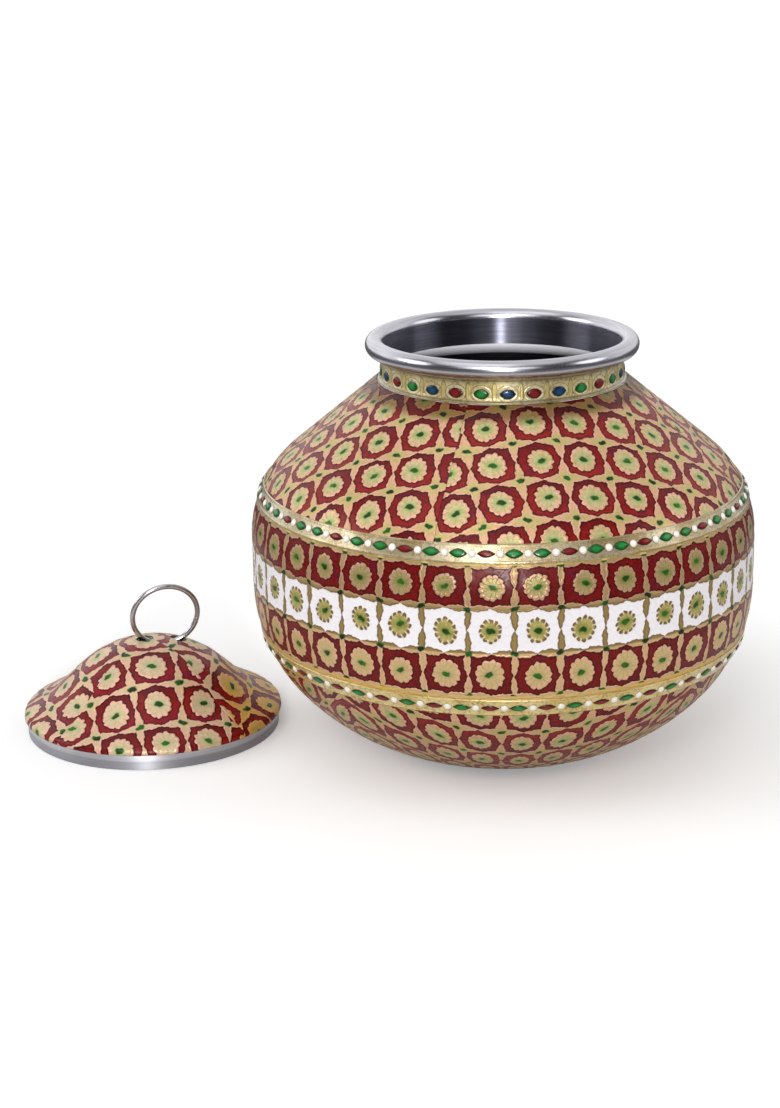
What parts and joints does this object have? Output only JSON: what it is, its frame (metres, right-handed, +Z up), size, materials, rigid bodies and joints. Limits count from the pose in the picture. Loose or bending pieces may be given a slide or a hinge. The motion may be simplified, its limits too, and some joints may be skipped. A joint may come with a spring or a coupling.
{
  "type": "water pot",
  "caption": "Round steel water pot with an embossed, enamelled gilt foil skin, dotted trim tapes and a rolled rim; its domed lid with a wire ring stands beside it.",
  "frame": {"origin": "the middle of the pot's flat base, on the table", "axes": "+Z up through the pot's mouth, -Y towards the viewer of the picture, -X towards the lid that stands beside the pot"},
  "size_m": [0.3732, 0.2502, 0.2077],
  "materials": {
    "steel": "pressed and polished steel sheet with fine turning lines",
    "ring_steel": "bright drawn wire",
    "red_foil": "gilt embossed foil with maroon enamel cells and cream rosettes",
    "belly_foil": "gilt embossed foil with a white row of cells between two maroon rows",
    "neck_foil": "gilt embossed foil with coloured enamel gems",
    "trim_tape": "gilt trim with white beads and coloured gems"
  },
  "bodies": {
    "pot": {"lower_bowl": "steel", "shoulder_shell": "steel", "neck_ring": "steel", "shoulder_foil_front_right": "red_foil", "shoulder_foil_back_right": "red_foil", "shoulder_foil_back_left": "red_foil", "shoulder_foil_front_left": "red_foil", "belly_strip": "belly_foil", "neck_band": "neck_foil", "upper_tape": "trim_tape", "lower_tape": "trim_tape", "base_foil_front": "red_foil", "base_foil_right": "red_foil", "base_foil_back": "red_foil", "base_foil_left": "red_foil"},
    "lid": {"lid_shell": "steel", "lid_foil_front": "red_foil", "lid_foil_right": "red_foil", "lid_foil_back": "red_foil", "lid_foil_left": "red_foil"},
    "ring": {"ring_handle": "ring_steel"}
  },
  "joints": [
    {"name": "lid_lift", "type": "slide", "parent": "pot", "child": "lid", "axis": [-0.3162, 0, 0.9487], "range_m": [0, 0.25]},
    {"name": "ring_fold", "type": "hinge", "parent": "lid", "child": "ring", "pos_m": [-0.17628, 0.01429, 0.04438], "axis": [0.9266, 0.3573, -0.1175], "range_deg": [-45, 15]}
  ]
}
